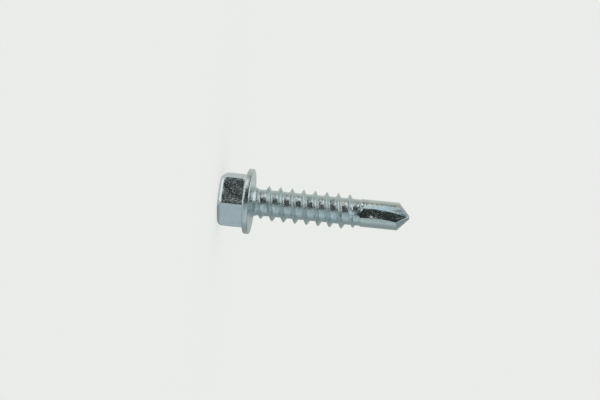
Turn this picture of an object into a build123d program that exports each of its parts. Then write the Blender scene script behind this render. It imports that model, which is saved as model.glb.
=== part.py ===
"""Self-drilling screw with a hex washer head: one cold-headed, thread-rolled piece of steel.

Millimetres and degrees. +Z runs along the screw from the head to the drill point, and the origin
is on the axis in the plane of the flange's bearing face, so the head lies below z = 0. The screw
stands on the flat top of its head. Two flats of the hexagon face -Y and +Y.
"""
import os
from math import atan2, cos, degrees, radians, tan

from build123d import *

# Hexagon
across_flats = 7.8
head_height = 5.0  # top of the head to the bearing face
head_top_diameter = 7.0  # flat that is left inside the rounded top edge
flat_rounding = 0.8  # how far the rounded top edge reaches down the flats
corner_rounding = 1.05  # and down the corners
hex_corner_radius = 0.25
# Washer flange
flange_diameter = 10.2
flange_rim = 0.9  # thickness at the rim
rim_edge_share = 0.35  # part of its reach past the hexagon's corners that the rim's top edge rounds
flange_slope = 6.0  # rise of the flange from its rim to the hexagon
neck_radius = 1.2  # fillet from the bearing face to the shank
# Thread, right hand
thread_diameter = 5.44
core_diameter = 4.08
thread_pitch = 1.814  # 14 threads an inch
thread_angle = 60.0
crest_width = 0.1
thread_length = 17.2  # bearing face to the end of the fading last turn
head_fade_length = 2.4  # the first turn reaches full height this far from the bearing face
point_fade_length = 2.0  # length over which the last turn fades
thread_turn = 66.0  # direction of the crest where it crosses the plane of the bearing face
# Drill point
screw_length = 24.75  # bearing face to tip
drill_diameter = 4.33
drill_step = 0.15  # length of the cone from the core up to the drill
point_angle = 96.0  # included angle of the tip
tip_width = 0.4  # of the blunt end that the web leaves
# Flutes: a V between the heel and the cutting lip, deep at the tip, that turns as it runs out
flute_count = 2
flute_turn = 292.0  # direction that the first flute faces
flute_length = 9.3  # tip to the end of the run-out
lip_slope = 42.0  # of the wall below the cutting lip
web_at_tip = 0.84  # between the bottoms of the two flutes
web_at_middle = 2.62
web_at_runout = 4.72
lean_at_tip = -25.0  # how far round towards the lip the bottom of the V lies
lean_at_middle = 35.0
lean_at_runout = 12.0
heel_slope_at_tip = 44.0  # of the wall below the heel
heel_slope_at_middle = 35.0
heel_slope_at_runout = -15.0
# Worked out from the sizes above
thread_depth = (thread_diameter - core_diameter) / 2
core_radius = core_diameter / 2
drill_radius = drill_diameter / 2
flange_radius = flange_diameter / 2
hex_corner = across_flats / 2 / cos(radians(30))
rim_edge_radius = (flange_radius - hex_corner) * rim_edge_share
flange_top = flange_rim + (flange_radius - across_flats / 2) * tan(radians(flange_slope))
cone_length = (drill_radius - tip_width / 2) / tan(radians(point_angle / 2))
ridge_root = 0.15  # how deep the thread's ridge is set into the core
overrun = 0.5  # how far a cutting shape reaches past what it cuts
reach = 2 * drill_diameter  # width of a cutting shape

# The hexagon is what three bars with rounded top edges and a turned outline have in common
with BuildPart() as bar:
    with BuildSketch(Plane.YZ):
        with BuildLine():
            top_edge = (head_top_diameter / 2, -head_height)
            side_edge = (across_flats / 2, flat_rounding - head_height)
            Polyline((0, -flange_rim / 2), (0, -head_height), top_edge)
            TangentArc(side_edge, top_edge, tangent=(0, -1))
            Polyline(side_edge, (across_flats / 2, -flange_rim / 2), (0, -flange_rim / 2))
        make_face()
        mirror(about=Plane.YZ)
    extrude(amount=hex_corner, both=True)
with BuildPart() as hexagon:
    with BuildSketch(Plane.XY.offset(-head_height)):
        RegularPolygon(across_flats / 2, 6, major_radius=False)
    extrude(amount=head_height - flange_rim / 2)
    fillet(hexagon.edges().filter_by(Axis.Z), hex_corner_radius)
    with BuildSketch(Plane.XZ):
        with BuildLine():
            top_edge = (head_top_diameter / 2, -head_height)
            side_edge = (hex_corner, corner_rounding - head_height)
            Polyline((0, -flange_rim / 2), (0, -head_height), top_edge)
            TangentArc(side_edge, top_edge, tangent=(0, -1))
            Polyline(side_edge, (hex_corner, -flange_rim / 2), (0, -flange_rim / 2))
        make_face()
    revolve(axis=Axis.Z, mode=Mode.INTERSECT)
    for turn in range(3):
        add(bar.part, rotation=(0, 0, turn * 60), mode=Mode.INTERSECT)


def ridge(length, sink):
    """A stretch of the thread's ridge: it starts towards +X at z = 0 and sinks on its way up."""
    half_base = crest_width / 2 + (thread_depth + ridge_root) * tan(radians(thread_angle / 2))
    cone = -atan2(sink, length)
    with BuildPart() as stretch:
        with BuildLine():
            Helix(thread_pitch / cos(cone), length, core_radius, cone_angle=degrees(cone))
        with BuildSketch(Plane.XZ):
            with BuildLine():
                Polyline(
                    (core_radius - ridge_root, -half_base),
                    (core_radius + thread_depth, -crest_width / 2),
                    (core_radius + thread_depth, crest_width / 2),
                    (core_radius - ridge_root, half_base),
                    close=True,
                )
            make_face()
        sweep(is_frenet=True)
    return stretch.part


def on_crest(height, up):
    """The plane across the screw at a height, turned so that its X axis meets the thread's crest."""
    turn = thread_turn + 360 * height / thread_pitch
    return Plane((0, 0, height), x_dir=Vector(1, 0).rotate(Axis.Z, turn), z_dir=(0, 0, up))


def vee(height, web, lean, heel_slope):
    """The V that a flute cuts at a height. It faces +X, with the cutting lip on its -Y side."""
    bottom = Vector(web / 2, 0).rotate(Axis.Z, -lean)
    heel = bottom + Vector(0, reach).rotate(Axis.Z, -heel_slope)
    lip = bottom + Vector(0, -reach).rotate(Axis.Z, lip_slope)
    outwards = Vector(reach, 0)
    with BuildSketch(Plane.XY.offset(height)) as section:
        with BuildLine():
            Polyline(bottom, lip, lip + outwards, heel + outwards, heel, close=True)
        make_face()
    return section.sketch


tip_end = screw_length + overrun
head_end = screw_length - flute_length
with BuildPart() as flute:
    loft(
        [
            vee(tip_end, web_at_tip, lean_at_tip, heel_slope_at_tip),
            vee((tip_end + head_end) / 2, web_at_middle, lean_at_middle, heel_slope_at_middle),
            vee(head_end, web_at_runout, lean_at_runout, heel_slope_at_runout),
        ]
    )

# The turned blank, joined with the hexagon and the thread, and fluted
with BuildPart() as screw:
    with BuildSketch(Plane.XZ) as outline:
        with BuildLine():
            Polyline(
                (core_radius, 0),
                (core_radius, thread_length - drill_step),
                (drill_radius, thread_length),
                (drill_radius, screw_length - cone_length),
                (tip_width / 2, screw_length),
                (0, screw_length),
                (0, -flange_top),
                (across_flats / 2, -flange_top),
                (flange_radius, -flange_rim),
                (flange_radius, 0),
                close=True,
            )
        make_face()
        top_rim = outline.vertices().group_by(Axis.X)[-1].sort_by(Axis.Y)[0]
        fillet(top_rim, rim_edge_radius)
        fillet(outline.vertices().sort_by_distance((core_radius, 0))[0], neck_radius)
    revolve(axis=Axis.Z)
    add(hexagon.part)
    fade_start = thread_length - point_fade_length
    with Locations(on_crest(head_fade_length, 1)):
        add(ridge(fade_start - head_fade_length, 0))
    with Locations(on_crest(head_fade_length, -1)):
        add(ridge(head_fade_length + flange_rim / 2, thread_depth))
    with Locations(on_crest(fade_start, 1)):
        add(ridge(point_fade_length, thread_depth))
    for turn in range(flute_count):
        add(flute.part, rotation=(0, 0, flute_turn + turn * 360 / flute_count), mode=Mode.SUBTRACT)

screw.part.label = "screw"
os.makedirs("parts", exist_ok=True)
export_step(screw.part, "parts/screw.step")
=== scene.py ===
"""Looks for the self-drilling screw: a finely meshed zinc-plated screw in place of the CAD node.

Lengths are millimetres until a mesh, light or camera is made, which takes metres. The frame is the
CAD's: +Z from the head to the drill point, z = 0 in the flange's bearing face, and the screw stands
on the top of its head. Directions round the screw are degrees, from +X towards +Y.
"""
from math import cos, degrees, pi, radians, sin, sqrt, tan

import bmesh
import bpy
import numpy as np
from mathutils import Matrix, Vector


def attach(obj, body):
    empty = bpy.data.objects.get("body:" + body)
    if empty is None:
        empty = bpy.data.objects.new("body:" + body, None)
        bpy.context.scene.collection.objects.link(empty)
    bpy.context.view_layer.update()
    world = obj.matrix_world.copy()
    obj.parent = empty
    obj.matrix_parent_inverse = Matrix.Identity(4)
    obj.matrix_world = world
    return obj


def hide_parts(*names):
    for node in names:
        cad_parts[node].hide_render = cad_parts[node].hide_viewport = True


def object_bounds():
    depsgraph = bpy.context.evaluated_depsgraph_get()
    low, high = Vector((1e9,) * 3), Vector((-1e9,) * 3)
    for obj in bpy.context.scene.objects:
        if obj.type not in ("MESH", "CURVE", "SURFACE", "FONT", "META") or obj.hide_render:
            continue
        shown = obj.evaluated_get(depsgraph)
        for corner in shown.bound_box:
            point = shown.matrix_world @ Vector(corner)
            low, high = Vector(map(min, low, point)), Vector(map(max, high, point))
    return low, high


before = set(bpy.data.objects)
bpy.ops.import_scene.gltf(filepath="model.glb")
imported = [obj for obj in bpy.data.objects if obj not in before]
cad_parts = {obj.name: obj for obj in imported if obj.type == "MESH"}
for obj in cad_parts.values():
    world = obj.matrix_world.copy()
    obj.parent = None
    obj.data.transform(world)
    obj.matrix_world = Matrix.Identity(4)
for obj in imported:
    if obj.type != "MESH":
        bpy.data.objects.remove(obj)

cad_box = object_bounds()
MM = 0.001

# ---------------------------------------------------------------- sizes of the screw, as in the CAD
ACROSS_FLATS = 7.8
HEAD_HEIGHT = 5.0
HEAD_TOP_RADIUS = 3.5
FLAT_ROUNDING = 0.8
CORNER_ROUNDING = 1.05
FLANGE_RADIUS = 5.1
FLANGE_RIM = 0.9
FLANGE_SLOPE = tan(radians(6))
NECK_RADIUS = 1.2
CREST_RADIUS = 2.72
CORE_RADIUS = 2.04
PITCH = 1.814
FLANK = tan(radians(30))
CREST_WIDTH = 0.06  # 0.1 in the CAD
THREAD_LENGTH = 17.2
HEAD_FADE = 2.4
POINT_FADE = 2.0
THREAD_TURN = 66.0
SCREW_LENGTH = 24.75
DRILL_RADIUS = 2.165
DRILL_STEP = 0.15
POINT_SLOPE = tan(radians(48))
TIP_WIDTH = 0.4
FLUTE_TURN = 292.0
FLUTE_LENGTH = 9.3
LIP_SLOPE = 42.0
OVERRUN = 0.5
# web, lean of the V's bottom and slope of the heel wall at the tip, in the middle and at the run-out
FLUTE_STATIONS = ((0.84, -25.0, 44.0), (2.62, 35.0, 35.0), (4.72, 12.0, -15.0))

HEX_CORNER = ACROSS_FLATS / 2 / cos(radians(30))
RIM_EDGE_SHARE = 0.35
RIM_EDGE = (FLANGE_RADIUS - HEX_CORNER) * RIM_EDGE_SHARE
THREAD_DEPTH = CREST_RADIUS - CORE_RADIUS
NECK_END_RADIUS = CORE_RADIUS + NECK_RADIUS

# ---------------------------------------------------------------- roundings that the CAD leaves out
BEARING_EDGE = 0.15
FOOT_FILLET = 0.09  # where the hexagon meets the flange
# lengths over which two surfaces blend where they cross
HEX_CORNER_BLEND = 0.10
HEX_TOP_BLEND = 0.05
POINT_BLEND = 0.05
CREST_BLEND = 0.04
RIDGE_FOOT_BLEND = 0.07
FLUTE_BOTTOM_BLEND = 0.08
FLUTE_EDGE_BLEND = 0.07

# ---------------------------------------------------------------- unevenness of the surface
FORGED_WAVES = ((4.0, 0.006), (1.7, 0.003), (0.7, 0.0012))  # length and height
FORGED_WAVES_EACH = 5
ROLLED_WAVES = ((0.9, 0.0034), (0.55, 0.0028), (0.36, 0.0017))
ROLLED_WAVES_EACH = 6
ROLLED_START, ROLLED_PAST_THREAD, ROLLED_FADE = 0.4, 1, 0.8
SEED = 7

# ---------------------------------------------------------------- fineness of the mesh
COLUMNS = 240
FIRST_COLUMN = 12.0  # direction of the first column, in the middle of a land
THREAD_START = 0.3
THREAD_END = THREAD_LENGTH - DRILL_STEP
CREST_TO_ROOT = (0.018, 0.045, 0.10, 0.16, 0.20, 0.235, 0.275, 0.34, 0.43)  # rows, in pitches
DRILL_ROW = 0.075
STEP_ROW = 0.03  # closer, where the outline bends
TIP_ROW = 0.04
TOP_RADII = (0.8, 1.9, 2.8, 3.3, 3.44)
HEAD_DEPTHS = (0.012, 0.05, 0.11, 0.19, 0.29, 0.4, 0.52, 0.65, 0.78, 0.9, 1.03, 1.2, 1.7, 2.4, 3.1, 3.6)
FOOT_ANGLES = (0, 22, 45, 68, 90)
RIM_ANGLES = (78, 64, 50, 37, 24, 12, 0)
BEARING_ANGLES = (0, 12, 24, 37, 50, 64, 78, 90)
BEARING_RADII = (4.4, 3.9, 3.5, NECK_END_RADIUS)
NECK_ROWS = 6
CROWDING_LENGTH = 1.2  # over which the columns gather at the flutes
MERGE_DISTANCE = 0.0004
NOTHING = 9.0  # radius of what a flute leaves where it cuts nothing


def soft_min(a, b, k):
    """The smaller of two radii, blended over about k where they cross."""
    near = np.maximum(k - np.abs(a - b), 0) / k
    return np.minimum(a, b) - near * near * k / 4


def soft_max(a, b, k):
    return -soft_min(-a, -b, k)


# ---------------------------------------------------------------- radius at a direction and a height
def hexagon(turn, depth):
    """The rounded hexagon at a depth below the top of the head."""
    off_flat = np.radians(turn % 60 - 30)
    flat_fall = ACROSS_FLATS / 2 - HEAD_TOP_RADIUS
    flat_arc = (flat_fall**2 + FLAT_ROUNDING**2) / (2 * flat_fall)
    up = max(FLAT_ROUNDING - depth, 0)
    inner = ACROSS_FLATS / 2 - flat_arc + sqrt(flat_arc**2 - up**2)
    flats = inner / np.cos(off_flat)
    for side in (-60, 60):
        flats = soft_min(flats, inner / np.cos(off_flat + radians(side)), HEX_CORNER_BLEND)
    corner_fall = HEX_CORNER - HEAD_TOP_RADIUS
    corner_arc = (corner_fall**2 + CORNER_ROUNDING**2) / (2 * corner_fall)
    up = max(CORNER_ROUNDING - depth, 0)
    turned = HEX_CORNER - corner_arc + sqrt(max(corner_arc**2 - up**2, 0))
    return soft_min(flats, turned, HEX_TOP_BLEND)


def flange_height(radius):
    """Height of the flange's top, which slopes up to the hexagon."""
    return -(FLANGE_RIM + (FLANGE_RADIUS - radius) * FLANGE_SLOPE)


def blank(z):
    """The plain turned blank, from the bearing face to the tip."""
    in_neck = np.clip(NECK_RADIUS - z, 0, NECK_RADIUS)
    neck = NECK_END_RADIUS - np.sqrt(NECK_RADIUS**2 - in_neck**2)
    step = np.clip((z - THREAD_LENGTH + DRILL_STEP) / DRILL_STEP, 0, 1)
    body = neck + (DRILL_RADIUS - CORE_RADIUS) * step * step * (3 - 2 * step)
    point = TIP_WIDTH / 2 + np.maximum(SCREW_LENGTH - z, 0) * POINT_SLOPE
    return soft_min(body, point, POINT_BLEND)


def ridge(turn, z):
    """The thread's crest and flanks, which sink into the core at both ends."""
    along = z / PITCH - (turn - THREAD_TURN) / 360
    off_crest = np.abs(along - np.round(along)) * PITCH
    crest_z = z - (along - np.round(along)) * PITCH
    head_rise = (crest_z + FLANGE_RIM / 2) / (HEAD_FADE + FLANGE_RIM / 2)
    point_rise = (THREAD_LENGTH - crest_z) / POINT_FADE
    crest = CORE_RADIUS + THREAD_DEPTH * np.clip(np.minimum(head_rise, point_rise), -0.5, 1)
    return soft_min(crest, crest - (off_crest - CREST_WIDTH / 2) / FLANK, CREST_BLEND)


def flute_walls(z):
    """For the heel wall and the lip wall at each height: the direction it faces and its distance."""
    t = np.clip((SCREW_LENGTH + OVERRUN - z) / (FLUTE_LENGTH + OVERRUN), 0, 1)
    weights = (2 * (t - 0.5) * (t - 1), -4 * t * (t - 1), 2 * t * (t - 0.5))
    reach = 4 * DRILL_RADIUS
    bottom, heel_end, lip_end = (np.zeros((2,) + t.shape) for _ in range(3))
    for weight, (web, lean, heel_slope) in zip(weights, FLUTE_STATIONS):
        low = Vector((web / 2, 0)) @ Matrix.Rotation(radians(lean), 2)
        heel = low + Vector((sin(radians(heel_slope)), cos(radians(heel_slope)))) * reach
        lip = low + Vector((sin(radians(LIP_SLOPE)), -cos(radians(LIP_SLOPE)))) * reach
        for total, point in ((bottom, low), (heel_end, heel), (lip_end, lip)):
            total[0] += point.x * weight
            total[1] += point.y * weight
    walls = []
    for end, side in ((heel_end, 1), (lip_end, -1)):
        along = (end - bottom) / np.hypot(*(end - bottom))
        faces = np.arctan2(-side * along[0], side * along[1])
        distance = np.cos(faces) * bottom[0] + np.sin(faces) * bottom[1]
        walls.append((faces, distance))
    return walls, np.arctan2(bottom[1], bottom[0])


def flute(turn, z, facing):
    """What one flute leaves, or a large radius where it cuts nothing."""
    left = None
    for faces, distance in flute_walls(z)[0]:
        off = np.cos(np.radians(turn - facing) - faces)
        wall = np.minimum(np.where(off > 0.05, distance / np.maximum(off, 0.05), NOTHING), NOTHING)
        left = wall if left is None else soft_max(left, wall, FLUTE_BOTTOM_BLEND)
    return np.where(z > SCREW_LENGTH - FLUTE_LENGTH, left, NOTHING)


def shank(turn, z):
    """The threaded and fluted shank."""
    threaded = soft_max(blank(z), ridge(turn, z), RIDGE_FOOT_BLEND)
    radius = np.where(z < THREAD_END, threaded, blank(z))
    for facing in (FLUTE_TURN, FLUTE_TURN + 180):
        radius = soft_min(radius, flute(turn, z, facing), FLUTE_EDGE_BLEND)
    return radius



# ---------------------------------------------------------------- directions of the columns
def columns(features=(), crowding=0.0, width=5.0):
    """Directions of the mesh's columns, closer together near the given directions."""
    fine = FIRST_COLUMN + np.linspace(0, 360, 3601)
    density = np.ones_like(fine)
    for feature in features:
        off = (fine - feature + 180) % 360 - 180
        density += crowding * np.exp(-((off / width) ** 2))
    total = np.concatenate(([0], np.cumsum((density[1:] + density[:-1]) / 2)))
    return np.interp(np.arange(COLUMNS) / COLUMNS, total / total[-1], fine)


def flute_features(z):
    """Directions of both flutes' heel edges, bottoms and lips at a height."""
    height = np.array([z])
    (heel, lip), bottom = flute_walls(height)
    radius = blank(height)
    found = [degrees(bottom[0])]
    for (faces, distance), side in ((heel, 1), (lip, -1)):
        share = float(np.clip(distance[0] / radius[0], -1, 1))
        found.append(degrees(faces[0]) + side * degrees(np.arccos(share)))
    return [FLUTE_TURN + turn + half for half in (0, 180) for turn in found]


# ---------------------------------------------------------------- the mesh, ring by ring
def head_rings():
    """Rings from the top of the head to the start of the thread: directions, radii and heights."""
    plain = columns()
    cornered = columns([60 * corner for corner in range(6)], 3.0, 5.0)
    rings = [(cornered, np.full(COLUMNS, radius), -HEAD_HEIGHT) for radius in TOP_RADII]
    for depth in HEAD_DEPTHS:
        rings.append((cornered, hexagon(cornered, depth), depth - HEAD_HEIGHT))
    outline = hexagon(cornered, HEAD_HEIGHT)
    for angle in np.radians(FOOT_ANGLES):
        radius = outline + FOOT_FILLET * (1 - np.cos(angle))
        rings.append((cornered, radius, flange_height(radius) - FOOT_FILLET * (1 - np.sin(angle))))
    inside, outside = outline + FOOT_FILLET, FLANGE_RADIUS - RIM_EDGE
    for share in (0.3, 0.65, 1.0):
        turn = cornered + (plain - cornered) * share
        radius = inside + (outside - inside) * share
        rings.append((turn, radius, flange_height(radius)))
    for angle in np.radians(RIM_ANGLES):
        radius = np.full(COLUMNS, outside + RIM_EDGE * cos(angle))
        rings.append((plain, radius, RIM_EDGE * (1 - sin(angle)) - FLANGE_RIM))
    for angle in np.radians(BEARING_ANGLES):
        radius = np.full(COLUMNS, FLANGE_RADIUS - BEARING_EDGE * (1 - cos(angle)))
        rings.append((plain, radius, BEARING_EDGE * (sin(angle) - 1)))
    rings += [(plain, np.full(COLUMNS, radius), 0.0) for radius in BEARING_RADII]
    last = np.arccos(1 - THREAD_START / NECK_RADIUS)
    for angle in np.linspace(0, last, NECK_ROWS)[1:-1]:
        radius = np.full(COLUMNS, NECK_END_RADIUS - NECK_RADIUS * sin(angle))
        rings.append((plain, radius, NECK_RADIUS * (1 - cos(angle))))
    return rings


def drill_rings():
    """Rings from the end of the thread to just short of the tip."""
    heel_z = SCREW_LENGTH - (DRILL_RADIUS - TIP_WIDTH / 2) / POINT_SLOPE
    heights = np.concatenate((
        np.arange(THREAD_END + STEP_ROW, THREAD_LENGTH, STEP_ROW),
        np.arange(THREAD_LENGTH, heel_z - 0.12, DRILL_ROW),
        np.arange(heel_z - 0.1, heel_z + 0.12, STEP_ROW),
        np.arange(heel_z + 0.17, SCREW_LENGTH - 0.35, DRILL_ROW),
        np.arange(SCREW_LENGTH - 0.33, SCREW_LENGTH - 0.03, TIP_ROW),
    ))
    rings = []
    for z in heights:
        crowding = 4.0 * min((z - THREAD_END) / CROWDING_LENGTH, 1)
        turn = columns(flute_features(z), crowding, 4.0)
        rings.append((turn, shank(turn, np.full(COLUMNS, z)), z))
    return rings


def screw_mesh():
    """Points and faces of the whole screw: head, thread and drill."""
    points, faces = [], []

    def add_ring(turn, radius, z):
        first = len(points)
        z = np.broadcast_to(z, turn.shape)
        turn = np.radians(turn)
        points.extend(np.stack((radius * np.cos(turn), radius * np.sin(turn), z), axis=1))
        return first

    def join(lower, upper):
        for k in range(COLUMNS):
            n = (k + 1) % COLUMNS
            faces.append((lower + k, lower + n, upper + n, upper + k))

    def fan(centre, ring, upwards):
        for k in range(COLUMNS):
            n = (k + 1) % COLUMNS
            faces.append((centre, ring + k, ring + n) if upwards else (centre, ring + n, ring + k))

    points.append(np.array((0, 0, -HEAD_HEIGHT)))
    firsts = [add_ring(*ring) for ring in head_rings()]
    fan(0, firsts[0], False)
    for lower, upper in zip(firsts, firsts[1:]):
        join(lower, upper)

    # the thread's rows climb with the thread, and are cut off level at both ends
    turn = columns()
    crest = ((FIRST_COLUMN - THREAD_TURN) / 360 - (THREAD_START / PITCH - 1)) % 1
    shares = [0.0] + [(crest + side * row) % 1 for row in (0.0,) + CREST_TO_ROOT for side in (-1, 1)]
    shares = sorted(set(np.round(shares, 6)))
    rows_a_turn = len(shares)
    rows = []
    lap = -1
    while not rows or rows[-1] < THREAD_END:
        rows += [THREAD_START + (lap + share) * PITCH for share in shares]
        lap += 1
    climb = PITCH * np.arange(COLUMNS) / COLUMNS
    firsts_thread = []
    for row in rows:
        z = np.clip(row + climb, THREAD_START, THREAD_END)
        firsts_thread.append(add_ring(turn, shank(turn, z), z))
    last_row = len(rows) - 1
    for i in range(last_row):
        for k in range(COLUMNS - 1):
            low, high = firsts_thread[i] + k, firsts_thread[i + 1] + k
            faces.append((low, low + 1, high + 1, high))
        low, high = firsts_thread[i] + COLUMNS - 1, firsts_thread[i + 1] + COLUMNS - 1
        next_low = firsts_thread[min(i + rows_a_turn, last_row)]
        next_high = firsts_thread[min(i + 1 + rows_a_turn, last_row)]
        faces.append((low, next_low, next_high, high))
    join(firsts[-1], firsts_thread[0])

    firsts = [firsts_thread[-1]] + [add_ring(*ring) for ring in drill_rings()]
    for lower, upper in zip(firsts, firsts[1:]):
        join(lower, upper)
    points.append(np.array((0, 0, SCREW_LENGTH - 0.01)))
    fan(len(points) - 1, firsts[-1], True)
    return np.array(points), faces


def wave_way(draw, length):
    """A random direction, as the phase that a wave of a length gains in a millimetre along it."""
    way = draw.normal(size=3)
    way *= 2 * pi / length / np.linalg.norm(way)
    return way


def uneven(points):
    """Moves the points by a few thousandths of a millimetre, as forging and plating leave them."""
    draw = np.random.default_rng(SEED)
    moved = points.copy()
    for length, height in FORGED_WAVES:
        for _ in range(FORGED_WAVES_EACH):
            way = wave_way(draw, length)
            push = draw.normal(size=3)
            push /= np.linalg.norm(push)
            moved += np.outer(np.sin(points @ way + draw.uniform(0, 2 * pi)), push) * height
    from_axis = np.hypot(points[:, 0], points[:, 1])
    starts = np.clip((points[:, 2] - ROLLED_START) / ROLLED_FADE, 0, 1)
    ends = np.clip((THREAD_LENGTH + ROLLED_PAST_THREAD - points[:, 2]) / ROLLED_FADE, 0, 1)
    on_shank = starts * ends
    for length, height in ROLLED_WAVES:
        for _ in range(ROLLED_WAVES_EACH):
            way = wave_way(draw, length)
            push = np.sin(points @ way + draw.uniform(0, 2 * pi)) * height * on_shank
            moved[:, :2] += points[:, :2] * (push / from_axis.clip(0.1))[:, None]
    # the flat that the screw stands on stays flat
    inside_top = from_axis < HEAD_TOP_RADIUS - 0.03
    foot = inside_top & (points[:, 2] < 0.01 - HEAD_HEIGHT)
    moved[foot, 2] = -HEAD_HEIGHT
    return moved


def make_screw():
    points, faces = screw_mesh()
    mesh = bpy.data.meshes.new("screw_plated")
    mesh.from_pydata((uneven(points) * MM).tolist(), [], faces)
    shape = bmesh.new()
    shape.from_mesh(mesh)
    bmesh.ops.remove_doubles(shape, verts=shape.verts, dist=MERGE_DISTANCE * MM)
    bmesh.ops.dissolve_degenerate(shape, edges=shape.edges, dist=MERGE_DISTANCE * MM)
    bmesh.ops.recalc_face_normals(shape, faces=shape.faces)
    shape.to_mesh(mesh)
    shape.free()
    mesh.shade_smooth()
    screw = bpy.data.objects.new("screw_plated", mesh)
    bpy.context.scene.collection.objects.link(screw)
    return screw


# ---------------------------------------------------------------- shader nodes
def node(tree, kind, **inputs):
    made = tree.nodes.new(kind)
    for name, value in inputs.items():
        made.inputs[name.replace("_", " ")].default_value = value
    return made


def ramp(tree, source, stops):
    made = tree.nodes.new("ShaderNodeValToRGB")
    elements = made.color_ramp.elements
    while len(elements) < len(stops):
        elements.new(0.5)
    for element, (position, colour) in zip(elements, stops):
        element.position = position
        element.color = (*colour, 1)
    tree.links.new(source, made.inputs["Fac"])
    return made.outputs["Color"]


def maths(tree, operation, *values):
    """A Math node on numbers or sockets."""
    made = tree.nodes.new("ShaderNodeMath")
    made.operation = operation
    for socket, value in zip(made.inputs, values):
        if isinstance(value, bpy.types.NodeSocket):
            tree.links.new(value, socket)
        else:
            socket.default_value = value
    return made.outputs[0]


def between(tree, value, start, end):
    """0 below start, 1 above end, and a smooth change between them."""
    made = tree.nodes.new("ShaderNodeMapRange")
    made.interpolation_type = "SMOOTHSTEP"
    for name, given in (("Value", value), ("From Min", start), ("From Max", end)):
        if isinstance(given, bpy.types.NodeSocket):
            tree.links.new(given, made.inputs[name])
        else:
            made.inputs[name].default_value = given
    return made.outputs["Result"]


def blend(tree, share, first, second):
    """The first colour, or the second where share is 1."""
    made = tree.nodes.new("ShaderNodeMix")
    made.data_type = "RGBA"
    tree.links.new(share, made.inputs["Factor"])
    for name, colour in (("A", first), ("B", second)):
        socket = next(i for i in made.inputs if i.name == name and i.type == "RGBA")
        if isinstance(colour, bpy.types.NodeSocket):
            tree.links.new(colour, socket)
        else:
            socket.default_value = (*colour, 1)
    return next(o for o in made.outputs if o.type == "RGBA")


def patch(tree, angle, rise, sides, ends):
    """1 inside a patch of the surround given by two angles and two elevations, with soft edges."""
    share = None
    for value, (low, high) in ((angle, sides), (rise, ends)):
        for limit, side in ((low, PATCH_EDGE), (high, -PATCH_EDGE)):
            start, end = (maths(tree, "ADD", limit, off) for off in (-side, side))
            edge = between(tree, value, start, end)
            share = edge if share is None else maths(tree, "MULTIPLY", share, edge)
    return share


def band(tree, value, first, last):
    """1 between two soft edges, each given as (where it is 0, where it is 1)."""
    return maths(tree, "MULTIPLY", between(tree, value, *first), between(tree, value, *last))


def tinted(tree, colour, share, tint):
    """The colour, raised by the tint's parts where share is 1."""
    amount = tree.nodes.new("ShaderNodeVectorMath")
    amount.operation = "SCALE"
    amount.inputs[0].default_value = tint
    tree.links.new(share, amount.inputs["Scale"])
    raised = tree.nodes.new("ShaderNodeVectorMath")
    raised.operation = "MULTIPLY_ADD"
    for socket, value in zip(raised.inputs, (colour, amount.outputs[0], colour)):
        tree.links.new(value, socket)
    return raised.outputs[0]


# ---------------------------------------------------------------- zinc plate
BLOTCH_SCALE, BLOTCH_DETAIL = 700, 3
BLOTCH_COLOURS = (
    (0.30, (0.75, 0.835, 0.86)),
    (0.50, (0.83, 0.89, 0.90)),
    (0.72, (0.88, 0.91, 0.875)),
)
GRAIN_SCALE, GRAIN_DETAIL, GRAIN_ROUGHNESS = 4200, 1.5, 0.5
GRAIN_GLOSS = ((0.46, (0.12,) * 3), (0.60, (0.18,) * 3), (0.68, (0.28,) * 3))
BUMP_STRENGTH, BUMP_DISTANCE = 0.4, 0.00002
ROLLED_ROUGHNESS = 0.14  # that thread rolling adds
ROLLED_EDGE = 0.5
RIM_ROUGHNESS = 0.1  # that the flange's rim has beyond the flats
RIM_WARMTH = (0.12, 0.07, 0.05)  # the rim's colour is made lighter and less blue
RIM_FROM, RIM_TO = -0.7, -0.15
LAND_WARMTH = (0.09, 0.04, 0.0)  # and on the drill's lands it is made lighter and warmer too
LAND_RADII = (1.95, 2.08)
LAND_EDGE = 0.4


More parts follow.
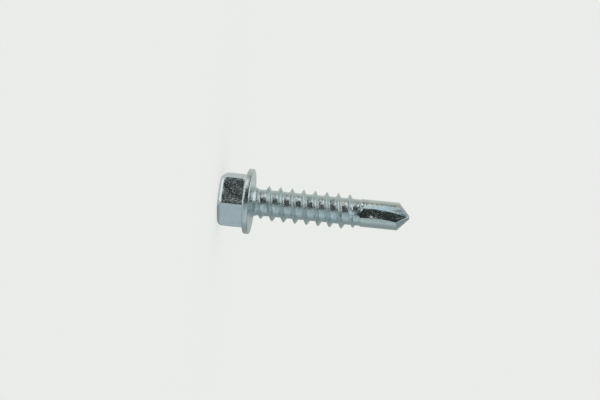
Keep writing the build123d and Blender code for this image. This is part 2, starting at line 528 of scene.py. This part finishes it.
def zinc_plate():
    """Bright zinc with a faint blue passivation: mottled in colour, grainy in gloss."""
    material = bpy.data.materials.new("zinc_plate")
    material.use_nodes = True
    tree = material.node_tree
    shader = tree.nodes["Principled BSDF"]
    shader.inputs["Metallic"].default_value = 1.0
    place = tree.nodes.new("ShaderNodeTexCoord").outputs["Object"]

    def noise(scale, detail, roughness=0.55):
        made = node(tree, "ShaderNodeTexNoise", Scale=scale, Detail=detail, Roughness=roughness)
        tree.links.new(place, made.inputs["Vector"])
        return made.outputs["Fac"]

    blotch = noise(BLOTCH_SCALE, BLOTCH_DETAIL)
    grain = noise(GRAIN_SCALE, GRAIN_DETAIL, GRAIN_ROUGHNESS)
    at = tree.nodes.new("ShaderNodeSeparateXYZ")
    tree.links.new(place, at.inputs[0])
    x, y, z = (at.outputs[name] for name in "XYZ")
    thread_end = THREAD_LENGTH * MM
    rolled = band(tree, z, (0.0, ROLLED_EDGE * MM), (thread_end, thread_end - ROLLED_EDGE * MM))
    rim = band(tree, z, (-FLANGE_RIM * MM, RIM_FROM * MM), (0.0, RIM_TO * MM))
    from_axis_squared = maths(tree, "MULTIPLY_ADD", y, y, maths(tree, "MULTIPLY", x, x))
    outside = between(tree, from_axis_squared, *((radius * MM) ** 2 for radius in LAND_RADII))
    land = maths(tree, "MULTIPLY", outside, between(tree, z, thread_end, thread_end + LAND_EDGE * MM))

    colour = ramp(tree, blotch, BLOTCH_COLOURS)
    colour = tinted(tree, colour, rim, RIM_WARMTH)
    colour = tinted(tree, colour, land, LAND_WARMTH)
    tree.links.new(colour, shader.inputs["Base Color"])
    roughness = ramp(tree, grain, GRAIN_GLOSS)
    roughness = maths(tree, "MULTIPLY_ADD", rolled, ROLLED_ROUGHNESS, roughness)
    roughness = maths(tree, "MULTIPLY_ADD", rim, RIM_ROUGHNESS, roughness)
    tree.links.new(roughness, shader.inputs["Roughness"])
    bump = node(tree, "ShaderNodeBump", Strength=BUMP_STRENGTH, Distance=BUMP_DISTANCE)
    tree.links.new(grain, bump.inputs["Height"])
    tree.links.new(bump.outputs["Normal"], shader.inputs["Normal"])
    return material


# ---------------------------------------------------------------- studio
# Everything round the screw is given as an angle from the camera: positive is up in the picture
CAMERA_TURN, CAMERA_RISE, CAMERA_ROLL = 292.0, 5.5, 95.86
CAMERA_DISTANCE = 900.0
MM_A_PIXEL = 0.1557
PICTURE_WIDTH = 600
AIM_HEIGHT, AIM_UP = 7.47, 1.02
BACKDROP = (0.831, 0.847, 0.823)
FLOOR_GAP = 0.01  # keeps the floor out of the plane of the head's top
FLOOR_HALF = 12.0  # metres
FLOOR_PLAIN = 0.75  # share of its own colour that the camera sees in the floor, beside the lit one
# what the metal mirrors: a colour by angle round the screw, and a black card in front of it
SURROUND = (
    (-180, (0.38, 0.42, 0.41)),
    (-130, (0.23, 0.28, 0.28)),
    (-104, (0.22, 0.29, 0.30)),
    (-86, (0.30, 0.38, 0.40)),
    (-76, (0.39, 0.46, 0.49)),
    (-45, (0.30, 0.39, 0.40)),
    (-22, (0.23, 0.30, 0.31)),
    (-6, (0.16, 0.18, 0.18)),
    (6, (0.16, 0.18, 0.18)),
    (22, (0.82, 0.89, 0.88)),
    (76, (0.82, 0.89, 0.88)),
    (97, (0.27, 0.31, 0.28)),
    (116, (0.42, 0.47, 0.43)),
    (160, (0.50, 0.54, 0.53)),
)
SURROUND_ABOVE = (
    (-180, (0.30, 0.34, 0.33)),
    (-100, (0.15, 0.20, 0.21)),
    (-60, (0.13, 0.18, 0.19)),
    (-10, (0.13, 0.16, 0.16)),
    (8, (0.14, 0.17, 0.17)),
    (26, (0.94, 1.0, 0.99)),
    (100, (0.84, 0.90, 0.89)),
    (125, (0.30, 0.34, 0.34)),
    (160, (0.34, 0.38, 0.37)),
)
ABOVE_FROM, ABOVE_TO = 16, 34
UNDER = (0.46, 0.48, 0.47)
UNDER_FROM, UNDER_TO = -66, -54
PATCH_EDGE = 2  # half the width of a patch's soft edge
CARD = (0.020, 0.026, 0.026)
CARD_START, CARD_END, CARD_END_ABOVE = -8, 47.6, 100
CARD_BOTTOM, CARD_MIDDLE, CARD_TOP = -26, -4.2, 20
STRIP = (0.60, 0.70, 0.75)
STRIP_START, STRIP_END, STRIP_BOTTOM, STRIP_TOP = -75, -8, 2, 19


def make_world():
    """The surround that the metal mirrors, the plain backdrop, and even light on what isn't metal."""
    world = bpy.data.worlds.new("studio")
    bpy.context.scene.world = world
    world.use_nodes = True
    tree = world.node_tree
    way = tree.nodes.new("ShaderNodeSeparateXYZ")
    tree.links.new(tree.nodes.new("ShaderNodeTexCoord").outputs["Generated"], way.inputs[0])
    turn = maths(tree, "ARCTAN2", way.outputs["Y"], way.outputs["X"])
    share = maths(tree, "FRACT", maths(tree, "MULTIPLY_ADD", turn, -1 / (2 * pi), CAMERA_TURN / 360 + 0.5))
    colour = ramp(tree, share, [(at / 360 + 0.5, shade) for at, shade in SURROUND])
    angle = maths(tree, "MULTIPLY_ADD", share, 360, -180)
    rise = maths(tree, "MULTIPLY", maths(tree, "ARCSINE", way.outputs["Z"]), 180 / pi)
    above = ramp(tree, share, [(at / 360 + 0.5, shade) for at, shade in SURROUND_ABOVE])
    colour = blend(tree, between(tree, rise, ABOVE_FROM, ABOVE_TO), colour, above)
    colour = blend(tree, between(tree, rise, UNDER_FROM, UNDER_TO), UNDER, colour)
    strip = patch(tree, angle, rise, (STRIP_START, STRIP_END), (STRIP_BOTTOM, STRIP_TOP))
    colour = blend(tree, strip, colour, STRIP)
    upper = between(tree, rise, CARD_MIDDLE - 1, CARD_MIDDLE + 1)
    end = maths(tree, "MULTIPLY_ADD", upper, CARD_END_ABOVE - CARD_END, CARD_END)
    card = patch(tree, angle, rise, (CARD_START, end), (CARD_BOTTOM, CARD_TOP))
    colour = blend(tree, card, colour, CARD)
    path = tree.nodes.new("ShaderNodeLightPath")
    colour = blend(tree, path.outputs["Is Glossy Ray"], BACKDROP, colour)
    colour = blend(tree, path.outputs["Is Diffuse Ray"], colour, (1, 1, 1))
    tree.links.new(colour, tree.nodes["Background"].inputs["Color"])


def make_floor():
    """A plain pale floor under the head that keeps the screw's shadow."""
    material = bpy.data.materials.new("floor")
    material.use_nodes = True
    tree = material.node_tree
    tree.nodes.remove(tree.nodes["Principled BSDF"])
    lit = node(tree, "ShaderNodeBsdfDiffuse", Color=(*BACKDROP, 1))
    plain = node(tree, "ShaderNodeEmission", Color=(*BACKDROP, 1))
    mix = tree.nodes.new("ShaderNodeMixShader")
    path = tree.nodes.new("ShaderNodeLightPath")
    seen = maths(tree, "MULTIPLY", path.outputs["Is Camera Ray"], FLOOR_PLAIN)
    tree.links.new(seen, mix.inputs["Fac"])
    tree.links.new(lit.outputs[0], mix.inputs[1])
    tree.links.new(plain.outputs[0], mix.inputs[2])
    tree.links.new(mix.outputs[0], tree.nodes["Material Output"].inputs["Surface"])
    mesh = bpy.data.meshes.new("floor")
    height = cad_box[0][2] - FLOOR_GAP * MM
    signs = ((-1, -1), (1, -1), (1, 1), (-1, 1))
    corners = [(x * FLOOR_HALF, y * FLOOR_HALF, height) for x, y in signs]
    mesh.from_pydata(corners, [], [(0, 1, 2, 3)])
    mesh.materials.append(material)
    floor = bpy.data.objects.new("floor", mesh)
    floor.visible_glossy = False
    bpy.context.scene.collection.objects.link(floor)
    return floor


def make_camera():
    """Looks at the screw from the side, rolled so that it lies across the picture."""
    turn, rise = radians(CAMERA_TURN), radians(CAMERA_RISE)
    towards = Vector((cos(turn) * cos(rise), sin(turn) * cos(rise), sin(rise)))
    up = Vector((sin(turn), -cos(turn), 0))
    aim = Vector((0, 0, AIM_HEIGHT)) + up * AIM_UP
    lens = bpy.data.cameras.new("camera")
    camera = bpy.data.objects.new("camera", lens)
    bpy.context.scene.collection.objects.link(camera)
    camera.location = (aim + towards * CAMERA_DISTANCE) * MM
    camera.rotation_mode = "QUATERNION"
    roll = Matrix.Rotation(radians(CAMERA_ROLL), 3, "Z").to_quaternion()
    camera.rotation_quaternion = towards.to_track_quat("Z", "Y") @ roll
    lens.lens = lens.sensor_width * CAMERA_DISTANCE / (PICTURE_WIDTH * MM_A_PIXEL)
    lens.clip_start, lens.clip_end = 0.05, 50.0
    bpy.context.scene.camera = camera


screw = make_screw()
screw.data.materials.append(zinc_plate())
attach(screw, "root")
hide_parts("screw")
make_world()
make_floor()
make_camera()
bpy.context.scene.view_settings.view_transform = "Standard"
